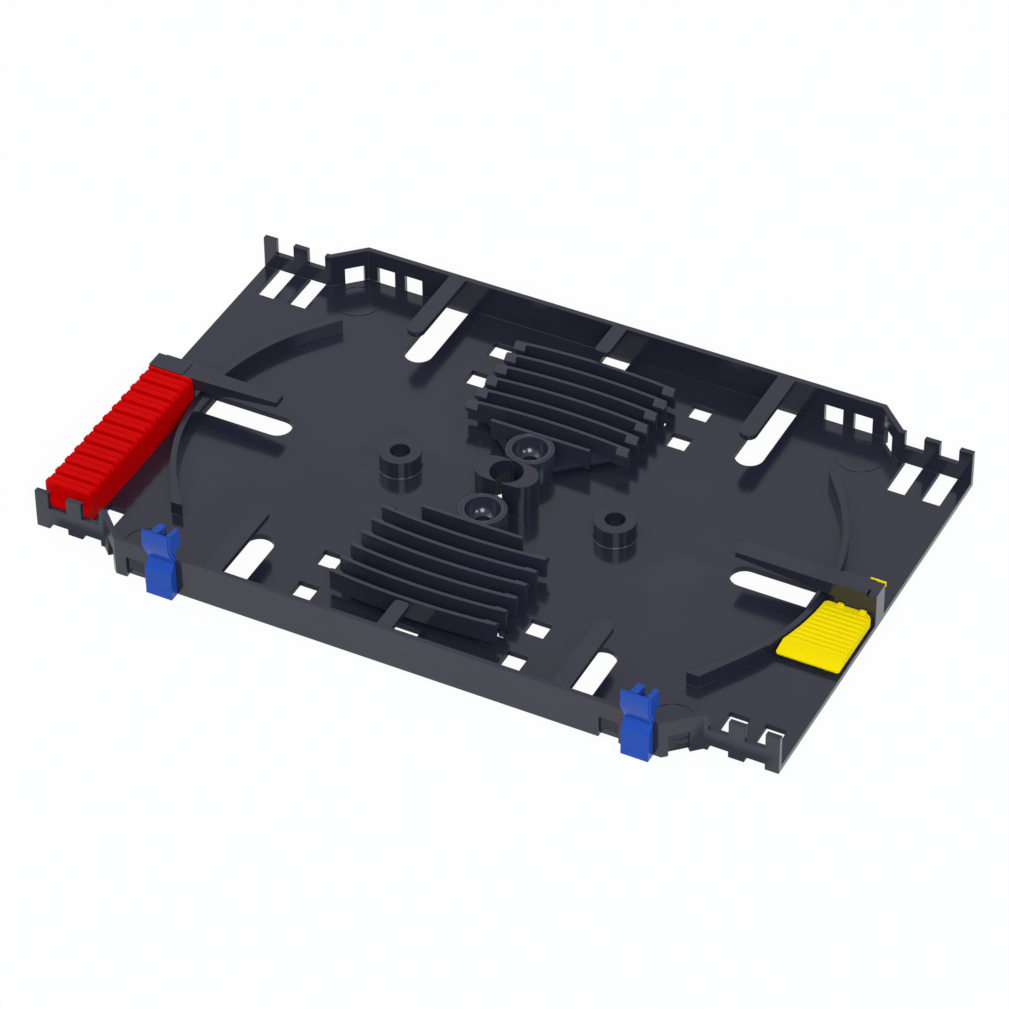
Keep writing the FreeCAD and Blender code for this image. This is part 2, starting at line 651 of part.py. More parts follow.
def wall_clip(centre):
    """Clip on the front wall: a waisted plate with two ears, held through a window."""
    face = -HALF_WIDTH - CLIP_WALL_GAP
    inner_y = face - CLIP_HEAD_Y + CLIP_PLATE
    profile = [(face, 0), (face - CLIP_FOOT_Y, 0), (face - CLIP_SHOULDER_Y, CLIP_SHOULDER_Z),
               (face - CLIP_WAIST_Y, CLIP_WAIST_Z), (face - CLIP_HEAD_Y, CLIP_HEAD_Z),
               (face - CLIP_HEAD_Y, CLIP_TOP), (inner_y, CLIP_TOP),
               (inner_y, CLIP_HEAD_Z), (face, TRAY_HEIGHT)]
    x0 = centre - CLIP_WIDTH / 2
    x1 = centre + CLIP_WIDTH / 2
    left_ear = x0 + LEFT_EAR_START
    right_ear = x1 + RIGHT_EAR_OVERHANG
    solids = [plate_along_x(profile, x0, x1),
              clip_ear(face, left_ear, left_ear + LEFT_EAR_WIDTH),
              clip_ear(face, right_ear - RIGHT_EAR_WIDTH, right_ear)]
    half = WINDOW_LENGTH / 2 - TONGUE_CLEARANCE
    inner = -WALL_INNER_Y + TONGUE_CLEARANCE
    bottom = FLOOR + TONGUE_CLEARANCE
    top = WINDOW_HEIGHT - TONGUE_CLEARANCE
    solids.append(box(centre - half, centre + half, face, inner + TONGUE_BARB, bottom, top))
    solids.append(box(centre - half, centre + half, inner, inner + TONGUE_BARB,
                      bottom, WINDOW_HEIGHT + TONGUE_HOLD))
    return join(solids)


rear_comb = comb()
front_comb = rear_comb.copy()
front_comb.rotate(V(0, 0, 0), UP, 180)
PARTS = {
    "tray_base": tray(),
    "rear_splice_comb": rear_comb,
    "front_splice_comb": front_comb,
    "red_fibre_comb": red_comb(),
    "yellow_fibre_comb": yellow_comb(),
    "yellow_post_tab": post_tab(),
    "left_wall_clip": wall_clip(WINDOW_SETBACKS[0] - HALF_LENGTH),
    "right_wall_clip": wall_clip(HALF_LENGTH - WINDOW_SETBACKS[1]),
}

os.makedirs("parts", exist_ok=True)
for name, shape in PARTS.items():
    shape.exportStep(os.path.join("parts", name + ".step"))
    print(name, "solids", len(shape.Solids), "valid", shape.isValid(),
          "volume %.1f" % shape.Volume)
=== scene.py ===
import math

import bmesh
import bpy
from mathutils import Matrix, Vector


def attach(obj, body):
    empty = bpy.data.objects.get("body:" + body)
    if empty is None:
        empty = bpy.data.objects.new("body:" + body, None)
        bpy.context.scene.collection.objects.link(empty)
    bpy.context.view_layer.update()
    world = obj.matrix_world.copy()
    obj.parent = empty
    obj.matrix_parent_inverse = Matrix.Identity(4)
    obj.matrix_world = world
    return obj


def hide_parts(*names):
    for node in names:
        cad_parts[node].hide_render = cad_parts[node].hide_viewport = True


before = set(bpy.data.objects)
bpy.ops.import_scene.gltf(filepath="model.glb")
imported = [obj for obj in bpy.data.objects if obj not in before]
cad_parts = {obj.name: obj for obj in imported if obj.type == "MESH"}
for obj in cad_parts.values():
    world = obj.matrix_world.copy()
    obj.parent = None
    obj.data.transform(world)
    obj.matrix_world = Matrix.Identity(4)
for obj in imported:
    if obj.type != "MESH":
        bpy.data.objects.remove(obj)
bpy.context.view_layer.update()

# Sizes are in mm in the tray's frame, unless a comment or name says metres.
# HAIR is a step that keeps the faces of overlapping solids apart.
MM = 0.001
FLOOR_TOP = 1.7
HAIR = 0.01


# Camera, placed as the photograph was taken
CAMERA_PLACE = Vector((408.137, -790.487, 750.476)) * MM
CAMERA_LOOK = Vector((-0.35114, 0.67899, -0.64472)).normalized()
CAMERA_ROLL = math.radians(-0.580)
PHOTO_PIXELS = 1009
FOCAL_PIXELS = 4714.6
SENSOR = 36.0
LENS = FOCAL_PIXELS / PHOTO_PIXELS * SENSOR
CLIP_METRES = (0.05, 20.0)


def add_camera():
    """Camera with the photograph's place, direction, roll and lens."""
    right = CAMERA_LOOK.cross(Vector((0, 0, 1))).normalized()
    up = right.cross(CAMERA_LOOK)
    rolled_right = right * math.cos(CAMERA_ROLL) + up * math.sin(CAMERA_ROLL)
    rolled_up = up * math.cos(CAMERA_ROLL) - right * math.sin(CAMERA_ROLL)
    turn = Matrix((rolled_right, rolled_up, -CAMERA_LOOK)).transposed()
    data = bpy.data.cameras.new("camera")
    data.sensor_width = SENSOR
    data.lens = LENS
    data.clip_start, data.clip_end = CLIP_METRES
    camera = bpy.data.objects.new("camera", data)
    camera.matrix_world = Matrix.Translation(CAMERA_PLACE) @ turn.to_4x4()
    bpy.context.scene.collection.objects.link(camera)
    bpy.context.scene.camera = camera


# Nodes
def fill(tree, node, inputs):
    """Links an input where another node's output is given, and sets its value otherwise."""
    for name, given in inputs.items():
        if isinstance(given, bpy.types.NodeSocket):
            tree.links.new(given, node.inputs[name])
        else:
            node.inputs[name].default_value = given


def add_node(tree, kind, inputs=None, operation=None):
    """New node with its inputs filled."""
    node = tree.nodes.new(kind)
    if operation:
        node.operation = operation
    fill(tree, node, inputs or {})
    return node


def add_math(tree, operation, *inputs):
    """Output of a new math node."""
    return add_node(tree, "ShaderNodeMath", dict(enumerate(inputs)), operation).outputs[0]


# Light
WORLD_FROM = Vector((-0.62, -0.25, 0.60)).normalized()
WORLD_DIM = 0.22
WORLD_BRIGHT = 0.86
WORLD_COLOUR = (0.97, 0.98, 1.06, 1.0)


def add_world():
    """Soft daylight, brighter towards the front left and above than to the right."""
    world = bpy.data.worlds.new("studio")
    bpy.context.scene.world = world
    world.use_nodes = True
    tree = world.node_tree
    place = add_node(tree, "ShaderNodeTexCoord")
    towards = add_node(tree, "ShaderNodeVectorMath",
                       {0: place.outputs["Generated"], 1: WORLD_FROM}, "DOT_PRODUCT")
    level = add_node(tree, "ShaderNodeMapRange",
                     {"Value": towards.outputs["Value"], "From Min": -1.0,
                      "To Min": WORLD_DIM, "To Max": WORLD_BRIGHT})
    fill(tree, tree.nodes["Background"],
         {"Color": WORLD_COLOUR, "Strength": level.outputs["Result"]})


def add_lamp(name, place, size, power, colour=(1.0, 1.0, 1.0)):
    """Square lamp aimed at the tray's middle, with its place and size in metres."""
    data = bpy.data.lights.new(name, "AREA")
    data.shape = "RECTANGLE"
    data.size = size
    data.size_y = size
    data.energy = power
    data.color = colour
    lamp = bpy.data.objects.new(name, data)
    aim = (-Vector(place)).to_track_quat("-Z", "Y")
    lamp.matrix_world = Matrix.Translation(place) @ aim.to_matrix().to_4x4()
    bpy.context.scene.collection.objects.link(lamp)


# Floor of the studio, in metres; its covered part beneath the tray has painted shade in mirrors
STUDIO_HALF = 4.0
STUDIO_SUNK = 0.02 * MM
STUDIO_PALE = 0.75
STUDIO_GLOW = 0.94
TRAY_SHADE_HALF = (0.100, 0.065, 1.0)
TRAY_SHADE_EDGE = (0.95, 0.985)
TRAY_SHADE_DARK = 0.08
TRAY_SHADE_GLOW = 0.2


def floor_finish():
    """White from above, clear from below, and darkened by painted shade in mirrors where the
    tray covers it.
    """
    material = bpy.data.materials.new("studio_floor")
    material.use_nodes = True
    tree = material.node_tree
    tree.nodes.clear()
    place = add_node(tree, "ShaderNodeTexCoord")
    scaled = add_node(tree, "ShaderNodeVectorMath",
                      {0: place.outputs["Object"], 1: TRAY_SHADE_HALF}, "DIVIDE")
    axes = add_node(tree, "ShaderNodeSeparateXYZ", {0: scaled.outputs["Vector"]})
    away = add_math(tree, "MAXIMUM", add_math(tree, "ABSOLUTE", axes.outputs["X"]),
                    add_math(tree, "ABSOLUTE", axes.outputs["Y"]))
    # Painted shade under the tray: mirrored rays see less glow there and a darker floor colour
    unshaded_floor = add_node(tree, "ShaderNodeMapRange",
                          {"Value": away, "From Min": TRAY_SHADE_EDGE[0],
                           "From Max": TRAY_SHADE_EDGE[1],
                           "To Min": TRAY_SHADE_GLOW}).outputs["Result"]
    path = add_node(tree, "ShaderNodeLightPath")
    mirrored = path.outputs["Is Glossy Ray"]
    painted_shade = add_math(tree, "MULTIPLY", add_math(tree, "SUBTRACT", 1.0, unshaded_floor), mirrored)
    shade = add_node(tree, "ShaderNodeMapRange",
                     {"Value": painted_shade, "To Min": STUDIO_PALE, "To Max": TRAY_SHADE_DARK})
    seen = add_math(tree, "MAXIMUM", path.outputs["Is Camera Ray"],
                    add_math(tree, "MULTIPLY", unshaded_floor, mirrored))
    diffuse = add_node(tree, "ShaderNodeBsdfDiffuse", {"Color": shade.outputs["Result"]})
    glow = add_node(tree, "ShaderNodeEmission", {"Strength": 1.0})
    above = add_node(tree, "ShaderNodeMixShader",
                     {0: add_math(tree, "MULTIPLY", seen, STUDIO_GLOW),
                      1: diffuse.outputs[0], 2: glow.outputs[0]})
    facing = add_node(tree, "ShaderNodeNewGeometry")
    clear = add_node(tree, "ShaderNodeBsdfTransparent")
    sided = add_node(tree, "ShaderNodeMixShader",
                     {0: facing.outputs["Backfacing"], 1: above.outputs[0],
                      2: clear.outputs[0]})
    add_node(tree, "ShaderNodeOutputMaterial", {"Surface": sided.outputs[0]})
    return material


def add_floor():
    """Pale floor just under the tray, which keeps the object's shadow."""
    mesh = bpy.data.meshes.new("studio_floor")
    corners = [(x * STUDIO_HALF, y * STUDIO_HALF, -STUDIO_SUNK)
               for x, y in ((-1, -1), (1, -1), (1, 1), (-1, 1))]
    mesh.from_pydata(corners, [], [(0, 1, 2, 3)])
    mesh.materials.append(floor_finish())
    floor = bpy.data.objects.new("studio_floor", mesh)
    bpy.context.scene.collection.objects.link(floor)


# Materials, whose noise scales and grain depth are in metres
PLASTIC_IOR = 1.5
FLOW_SCALE = 30.0
FLOW_DETAIL = 4.0
FLOW_DISTORTION = 0.6
FLOW_SPAN = (0.3, 0.7)
GLOSS_DRIFT = (-0.03, 0.04)
GRAIN_SCALE = 1800.0
GRAIN_DETAIL = 2.0
GRAIN_DEPTH = 0.00003


def over_flow(tree, flow, low, high):
    """Spreads the flow noise over the values from low to high."""
    return add_node(tree, "ShaderNodeMapRange",
                    {"Value": flow.outputs["Fac"], "From Min": FLOW_SPAN[0],
                     "From Max": FLOW_SPAN[1], "To Min": low, "To Max": high}).outputs["Result"]


def moulded_plastic(name, colour, roughness, specular, grain, drift):
    """Moulded plastic: flow mottle in colour and gloss, and a fine grain."""
    material = bpy.data.materials.new("finish_" + name)
    material["slot"] = name
    material.use_nodes = True
    tree = material.node_tree
    place = add_node(tree, "ShaderNodeTexCoord")
    flow = add_node(tree, "ShaderNodeTexNoise",
                    {"Vector": place.outputs["Object"], "Scale": FLOW_SCALE,
                     "Detail": FLOW_DETAIL, "Distortion": FLOW_DISTORTION})
    tint = over_flow(tree, flow, 1.0 - drift, 1.0 + drift)
    shade = add_node(tree, "ShaderNodeVectorMath", {0: colour, "Scale": tint}, "SCALE")
    gloss = over_flow(tree, flow, roughness + GLOSS_DRIFT[0], roughness + GLOSS_DRIFT[1])
    fine = add_node(tree, "ShaderNodeTexNoise",
                    {"Vector": place.outputs["Object"], "Scale": GRAIN_SCALE,
                     "Detail": GRAIN_DETAIL})
    bump = add_node(tree, "ShaderNodeBump",
                    {"Height": fine.outputs["Fac"], "Strength": grain,
                     "Distance": GRAIN_DEPTH})
    fill(tree, tree.nodes["Principled BSDF"],
         {"Base Color": shade.outputs["Vector"], "Roughness": gloss, "IOR": PLASTIC_IOR,
          "Specular IOR Level": specular, "Normal": bump.outputs["Normal"]})
    return material


# Pieces; an edge is rounded where its faces are EDGE_ROOM times as wide as the rounding
SHARP = math.radians(30)
FLAT = math.radians(0.5)
EDGE_ROOM = 2.4
EDGE_SEGMENTS = 2
NORMALS_WEIGHT = 80
JOIN_METRES = 0.000002


def plain_mesh(piece):
    """Takes what the piece's modifiers make into its own mesh and removes them."""
    graph = bpy.context.evaluated_depsgraph_get()
    graph.update()
    made = bpy.data.meshes.new_from_object(piece.evaluated_get(graph),
                                           preserve_all_data_layers=True, depsgraph=graph)
    piece.modifiers.clear()
    piece.data = made


def mark_edges(work, edge):
    """Gives a bevel weight to the sharp edges whose faces are wide enough for it."""
    weight = work.edges.layers.float.new("bevel_weight_edge")
    for line in work.edges:
        if len(line.link_faces) != 2 or line.calc_face_angle(0.0) < SHARP:
            continue
        width = min(face.calc_area() for face in line.link_faces) / line.calc_length()
        if width > EDGE_ROOM * edge:
            line[weight] = 1.0


def smooth_faces(piece):
    """Shades all faces smooth, until sharp edges are marked."""
    for polygon in piece.data.polygons:
        polygon.use_smooth = True


def round_edges(piece, edge):
    """Rounds the sharp edges, with flat faces that stay flat in the shading."""
    work = bmesh.new()
    work.from_mesh(piece.data)
    mark_edges(work, edge)
    work.to_mesh(piece.data)
    work.free()
    bevel = piece.modifiers.new("edge", "BEVEL")
    bevel.width = edge
    bevel.segments = EDGE_SEGMENTS
    bevel.limit_method = "WEIGHT"
    bevel.use_clamp_overlap = False
    bevel.miter_outer = "MITER_SHARP"
    smooth_faces(piece)
    plain_mesh(piece)
    piece.data.set_sharp_from_angle(angle=SHARP)
    normals = piece.modifiers.new("normals", "WEIGHTED_NORMAL")
    normals.weight = NORMALS_WEIGHT
    normals.keep_sharp = True
    plain_mesh(piece)


def place_piece(name, work, material):
    """New object from a bmesh, at the origin, with one finish."""
    mesh = bpy.data.meshes.new(name)
    bmesh.ops.recalc_face_normals(work, faces=work.faces)
    work.to_mesh(mesh)
    work.free()
    mesh.materials.append(material)
    piece = bpy.data.objects.new(name, mesh)
    bpy.context.scene.collection.objects.link(piece)
    return piece


def join_part(piece):
    """Puts a visible piece on the part's only body."""
    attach(piece, "root")


def stand_in_for(piece, node):
    """Shows a piece instead of a CAD node."""
    join_part(piece)
    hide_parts(node)


def piece_bounds(piece):
    """Lowest and highest corner of a piece's box, in metres."""
    places = [vert.co for vert in piece.data.vertices]
    return ([min(place[k] for place in places) for k in range(3)],
            [max(place[k] for place in places) for k in range(3)])


def finish_moulding(node, material, edge, adjust=None):
    """A copy of a CAD piece with its faces joined and its edges rounded, in the same box."""
    work = bmesh.new()
    work.from_mesh(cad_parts[node].data)
    bmesh.ops.remove_doubles(work, verts=work.verts, dist=JOIN_METRES)
    bmesh.ops.dissolve_limit(work, angle_limit=FLAT, verts=work.verts, edges=work.edges)
    if adjust:
        adjust(work)
    piece = place_piece(node + "_finish", work, material)
    round_edges(piece, edge * MM)
    low, high = piece_bounds(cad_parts[node])
    for vert in piece.data.vertices:
        vert.co = [min(max(value, least), most)
                   for value, least, most in zip(vert.co, low, high)]
    stand_in_for(piece, node)


# Shapes
RING_STEPS = 72
BLOCK_FACES = ((3, 2, 1, 0), (4, 5, 6, 7), (0, 1, 5, 4), (1, 2, 6, 5), (2, 3, 7, 6),
               (3, 0, 4, 7))


def block(work, x0, x1, y0, y1, z0, z1):
    """Box with its sides along the axes."""
    corners = [work.verts.new(Vector((x, y, z)) * MM)
               for z in (z0, z1) for x, y in ((x0, y0), (x1, y0), (x1, y1), (x0, y1))]
    for face in BLOCK_FACES:
        work.faces.new([corners[k] for k in face])


def prism(work, outline, low, high):
    """Closed prism between two copies of an outline; low and high give each corner's place."""
    bottom = [work.verts.new(Vector(low(p)) * MM) for p in outline]
    top = [work.verts.new(Vector(high(p)) * MM) for p in outline]
    work.faces.new(bottom[::-1])
    work.faces.new(top)
    for k, corner in enumerate(bottom):
        after = (k + 1) % len(bottom)
        work.faces.new((corner, bottom[after], top[after], top[k]))


def upright(work, outline, z0, z1):
    """Prism of an (x, y) outline."""
    prism(work, outline, lambda p: (p[0], p[1], z0), lambda p: (p[0], p[1], z1))


def along_x(work, outline, x0, x1):
    """Prism of a (y, z) outline."""
    prism(work, outline, lambda p: (x0, p[0], p[1]), lambda p: (x1, p[0], p[1]))


def along_y(work, outline, y0, y1):
    """Prism of an (x, z) outline."""
    prism(work, outline, lambda p: (p[0], y0, p[1]), lambda p: (p[0], y1, p[1]))


def turned_ring(work, centre, profile):
    """Closed ring turned about an upright axis from a closed (radius, z) profile."""
    rings = []
    for k in range(RING_STEPS):
        turn = 2 * math.pi * k / RING_STEPS
        rings.append([work.verts.new(Vector((centre[0] + r * math.cos(turn),
                                             centre[1] + r * math.sin(turn), z)) * MM)
                      for r, z in profile])
    count = len(profile)
    for k, ring in enumerate(rings):
        after = rings[(k + 1) % RING_STEPS]
        for j in range(count):
            n = (j + 1) % count
            work.faces.new((ring[j], after[j], after[n], ring[n]))


def corner_arc(x, z, radius, start, steps=6):
    """Points of a quarter turn about (x, z), from the angle start in degrees."""
    turns = [math.radians(start + 90 * k / steps) for k in range(steps + 1)]
    return [(x + radius * math.cos(turn), z + radius * math.sin(turn)) for turn in turns]


# Geometry trees
def new_tree(name, inputs):
    """Tree with a geometry input, named inputs after it, and a geometry output."""
    tree = bpy.data.node_groups.new(name, "GeometryNodeTree")
    for label, kind in (("Geometry", "Geometry"), *inputs):
        tree.interface.new_socket(label, in_out="INPUT", socket_type="NodeSocket" + kind)
    tree.interface.new_socket("Geometry", in_out="OUTPUT", socket_type="NodeSocketGeometry")
    return tree


def point_row(tree, inputs):
    """Row of points at an even pitch."""
    row = tree.nodes.new("GeometryNodeMeshLine")
    row.mode = "OFFSET"
    fill(tree, row, inputs)
    return row.outputs["Mesh"]


def copies_on(tree, given, inputs):
    """Ends a tree with real copies of the given geometry on points, in the given finish."""
    copies = add_node(tree, "GeometryNodeInstanceOnPoints",
                      {"Instance": given["Geometry"], **inputs})
    real = add_node(tree, "GeometryNodeRealizeInstances",
                    {"Geometry": copies.outputs["Instances"]})
    finish = add_node(tree, "GeometryNodeSetMaterial",
                      {"Geometry": real.outputs["Geometry"], "Material": given["Finish"]})
    add_node(tree, "NodeGroupOutput", {"Geometry": finish.outputs["Geometry"]})


def repeat_tree():
    """Repeats a piece's own mesh at an even pitch."""
    tree = new_tree("even_repeat", (("Count", "Int"), ("Pitch", "Vector"),
                                    ("Finish", "Material")))
    given = tree.nodes.new("NodeGroupInput").outputs
    copies_on(tree, given, {"Points": point_row(tree, {"Count": given["Count"],
                                                       "Offset": given["Pitch"]})})
    return tree


def rib_field_tree():
    """Repeats a unit rib along Y and stretches each one from the guide arc to the right."""
    tree = new_tree("ribs_from_arc", (("Count", "Int"), ("Start", "Vector"),
                                      ("Pitch", "Vector"), ("Arc Centre", "Float"),
                                      ("Arc Radius", "Float"), ("Right End", "Float"),
                                      ("Finish", "Material")))
    given = tree.nodes.new("NodeGroupInput").outputs
    row = point_row(tree, {"Count": given["Count"], "Start Location": given["Start"],
                           "Offset": given["Pitch"]})
    spot = add_node(tree, "GeometryNodeInputPosition")
    across = add_node(tree, "ShaderNodeSeparateXYZ", {0: spot.outputs[0]}).outputs["Y"]
    reach = add_math(tree, "SQRT", add_math(
        tree, "SUBTRACT", add_math(tree, "MULTIPLY", given["Arc Radius"], given["Arc Radius"]),
        add_math(tree, "MULTIPLY", across, across)))
    left = add_math(tree, "ADD", given["Arc Centre"], reach)
    length = add_math(tree, "SUBTRACT", given["Right End"], left)
    shift = add_node(tree, "ShaderNodeCombineXYZ", {"X": left})
    stretch = add_node(tree, "ShaderNodeCombineXYZ", {"X": length, "Y": 1.0, "Z": 1.0})
    keep = tree.nodes.new("GeometryNodeCaptureAttribute")
    keep.capture_items.new("VECTOR", "Stretch")
    fill(tree, keep, {0: row, 1: stretch.outputs[0]})
    move = add_node(tree, "GeometryNodeSetPosition",
                    {"Geometry": keep.outputs[0], "Offset": shift.outputs[0]})
    copies_on(tree, given, {"Points": move.outputs["Geometry"], "Scale": keep.outputs[1]})
    return tree


def grow(piece, tree, values):
    """Runs a node tree on a piece with named values and keeps the plain mesh."""
    modifier = piece.modifiers.new("grow", "NODES")
    modifier.node_group = tree
    for item in tree.interface.items_tree:
        if item.in_out == "INPUT" and item.name in values:
            modifier[item.identifier] = values[item.name]
    plain_mesh(piece)


def merge_pieces(pieces, name):
    """One object from several, all at the origin."""
    work = bmesh.new()
    for piece in pieces:
        work.from_mesh(piece.data)
    material = pieces[0].data.materials[0]
    for piece in pieces:
        bpy.data.objects.remove(piece)
    for face in work.faces:
        face.material_index = 0
    return place_piece(name, work, material)


# Splice combs
COMB_SCREW_Y = 12.85
COMB_EDGE = 0.07
RIBS = 6
RIB_PITCH = 5.3
RIB_HALF = 22.4
RIB_THICK = 1.0
RIB_LOW = 3.0
RIB_TOP = 8.75
RIB_BOW = 1.3
RIB_STEPS = 28
FIRST_RIB_Y = 23.4
BARB_ROOT = 0.5
BARB_CROWN = 0.05
BARB_REACH = 1.15
BARB_SLOPE = 1.1
BARB_DROP = 2.2
BARB_LENGTH = 3.1
PLATE_HALF = RIB_HALF - 4.8
PLATE_TOP = RIB_LOW + 1.0
NECK_HALF = 5.9
NOTCH_HALF = 2.6
NOTCH_DEPTH = 3.2
SHORT_RIB = (-13.7, 13.7, 18.0, 19.0)  # x0, x1, y0, y1
HOOK_X = (RIB_HALF - 2.15, RIB_HALF - 0.45)
HOOK_Y = FIRST_RIB_Y + 4 * RIB_PITCH - 0.35
HOOK_THICK = 1.0

# Boss with a screw seat: its rim inwards and down from the outer corner, then the lip
# outwards and down from the sink, then the seat over a range of degrees
BOSS_R = 6.2
BOSS_TOP = 8.6
BOSS_RIM = ((0.0, 0.35), (0.12, 0.1), (0.35, 0.0), (0.62, 0.0), (0.68, 0.1), (0.78, 0.1),
            (0.84, 0.0))
BOSS_SHARP = math.radians(38)
SINK_R = 4.46
SINK_LIP = ((0.25, 0.0), (0.06, 0.08))
SEAT_START = (0.12, 0.25)
SEAT_STEPS = 10
SEAT_FROM = 8
SEAT_TO = 70
SEAT_NARROWS = 2.09
SEAT_DEPTH = 4.1


def rib_outline():
    """Plan of the first rib: a thin strip whose middle bows outwards."""
    radius = (RIB_HALF ** 2 + RIB_BOW ** 2) / (2 * RIB_BOW)
    middle = FIRST_RIB_Y + RIB_BOW - radius
    xs = [-RIB_HALF + 2 * RIB_HALF * k / RIB_STEPS for k in range(RIB_STEPS + 1)]
    outer = [(x, middle + math.sqrt(radius ** 2 - x ** 2)) for x in xs]
    inner = [(x, y - RIB_THICK) for x, y in reversed(outer)]
    return outer + inner


def splice_ribs(repeat, material):
    """Six bowed ribs with a snap barb at both ends."""
    work = bmesh.new()
    upright(work, rib_outline(), RIB_LOW, RIB_TOP)
    face = FIRST_RIB_Y - RIB_THICK
    barb = [(face + BARB_ROOT, RIB_TOP - HAIR), (face - BARB_CROWN, RIB_TOP - HAIR),
            (face - BARB_REACH, RIB_TOP - BARB_SLOPE), (face - BARB_REACH, RIB_TOP - BARB_DROP),
            (face + BARB_ROOT, RIB_TOP - BARB_DROP)]
    along_x(work, barb, RIB_HALF - BARB_LENGTH, RIB_HALF + HAIR)
    along_x(work, barb, -RIB_HALF - HAIR, BARB_LENGTH - RIB_HALF)
    ribs = place_piece("splice_ribs", work, material)
    grow(ribs, repeat, {"Count": RIBS, "Pitch": (0.0, RIB_PITCH * MM, 0.0), "Finish": material})
    return ribs


def splice_body(material):
    """Plate with its notched neck, the short rib and the hooks into the floor."""
    work = bmesh.new()
    last_y = FIRST_RIB_Y + (RIBS - 1) * RIB_PITCH
    notch_y = COMB_SCREW_Y + NOTCH_DEPTH
    upright(work, [(-NECK_HALF, COMB_SCREW_Y), (-NOTCH_HALF, COMB_SCREW_Y),
                   (-NOTCH_HALF, notch_y), (NOTCH_HALF, notch_y),
                   (NOTCH_HALF, COMB_SCREW_Y), (NECK_HALF, COMB_SCREW_Y),
                   (PLATE_HALF, FIRST_RIB_Y), (PLATE_HALF, last_y),
                   (-PLATE_HALF, last_y), (-PLATE_HALF, FIRST_RIB_Y)],
            RIB_LOW, PLATE_TOP)
    block(work, *SHORT_RIB, RIB_LOW, RIB_TOP)
    for side in (-1, 1):
        x0, x1 = sorted(side * x for x in HOOK_X)
        block(work, x0, x1, HOOK_Y - HOOK_THICK, HOOK_Y, 0.0, PLATE_TOP)
    return place_piece("splice_body", work, material)


def seat_profile():
    """Rounded seat of a screw head, from its lip down to the hole."""
    points = []
    end = math.radians(SEAT_TO)
    for k in range(SEAT_STEPS + 1):
        turn = math.radians(SEAT_FROM + (SEAT_TO - SEAT_FROM) * k / SEAT_STEPS)
        inwards = SEAT_NARROWS * (1 - math.cos(turn)) / (1 - math.cos(end))
        down = SEAT_DEPTH * math.sin(turn) / math.sin(end)
        points.append((SINK_R - SEAT_START[0] - inwards, BOSS_TOP - SEAT_START[1] - down))
    return points


def screw_seat(material):
    """Boss with a lipped rim and a smooth rounded seat for a screw head."""
    work = bmesh.new()
    seat = seat_profile()
    turned_ring(work, (0, COMB_SCREW_Y),
                [(BOSS_R, FLOOR_TOP)]
                + [(BOSS_R - inwards, BOSS_TOP - down) for inwards, down in BOSS_RIM]
                + [(SINK_R + outwards, BOSS_TOP - down) for outwards, down in SINK_LIP]
                + seat + [(seat[-1][0], FLOOR_TOP)])
    boss = place_piece("screw_seat", work, material)
    smooth_faces(boss)
    boss.data.set_sharp_from_angle(angle=BOSS_SHARP)
    return boss


def splice_comb(node, repeat, material, half_turn):
    """A whole splice comb, behind the middle or turned half round to its front."""
    moulding = merge_pieces([splice_ribs(repeat, material), splice_body(material)],
                            node + "_ribs")
    round_edges(moulding, COMB_EDGE * MM)
    boss = screw_seat(material)
    boss.name = node + "_seat"
    for piece in (moulding, boss):
        if half_turn:
            piece.data.transform(Matrix.Rotation(math.pi, 4, "Z"))
            piece.data.update()
        join_part(piece)
    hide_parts(node)


# Red fibre comb
RED_X0 = -99.75
RED_X1 = -87.2
RED_FRONT = -53.4
RED_REAR = -2.66
RED_PITCH = 4.54
RED_PAIRS = 11
RED_EDGE = 0.1
RED_UNDERSIDE = 4.4
RED_CORNER = 0.2
RED_SHOULDER = 1.2
RED_HIGH_THICK = 1.65
RED_HIGH_TOP = 10.8
RED_LOW_START = 2.15
RED_LOW_THICK = 1.75
RED_LOW_INSET = 0.06
RED_LOW_TOP = 10.4

# Solids inside and in front of the fins: x0, x1, y0, y1, z0, z1
RED_CORE = (RED_X0 + 2.4, RED_X1 - 0.12, RED_FRONT + 0.1, -2.7, FLOOR_TOP, 9.5)
RED_FOOT = (RED_X0 + 0.05, RED_X1 - 0.02, RED_FRONT - 2.9, RED_FRONT + 0.5, FLOOR_TOP, 5.9)


def red_fin(name, y, thickness, left, top, material):
    """One fin in the XZ plane, rounded at both left corners and at its top right."""
    outline = (corner_arc(left + RED_CORNER, RED_UNDERSIDE + RED_CORNER, RED_CORNER, 180, 3)
               + [(RED_X1, RED_UNDERSIDE)]
               + corner_arc(RED_X1 - RED_SHOULDER, top - RED_SHOULDER, RED_SHOULDER, 0)
               + corner_arc(left + RED_CORNER, top - RED_CORNER, RED_CORNER, 90, 3))
    work = bmesh.new()
    along_y(work, outline, y, y + thickness)
    return place_piece(name, work, material)


def red_insert(repeat, material):
    """Pairs of a high and a lower fin and an end fin, around one core with a foot in front."""
    step = {"Count": RED_PAIRS, "Pitch": (0.0, RED_PITCH * MM, 0.0), "Finish": material}
    high = red_fin("red_high", RED_FRONT, RED_HIGH_THICK, RED_X0, RED_HIGH_TOP, material)
    grow(high, repeat, step)
    low = red_fin("red_low", RED_FRONT + RED_LOW_START, RED_LOW_THICK, RED_X0 + RED_LOW_INSET,
                  RED_LOW_TOP, material)
    grow(low, repeat, step)
    last_y = RED_FRONT + RED_PAIRS * RED_PITCH
    last = red_fin("red_last", last_y, RED_REAR - last_y, RED_X0, RED_HIGH_TOP, material)
    work = bmesh.new()
    block(work, *RED_CORE)
    block(work, *RED_FOOT)
    foot = place_piece("red_foot", work, material)
    comb = merge_pieces([high, low, last, foot], "red_fins")
    round_edges(comb, RED_EDGE * MM)
    stand_in_for(comb, "red_fibre_comb")


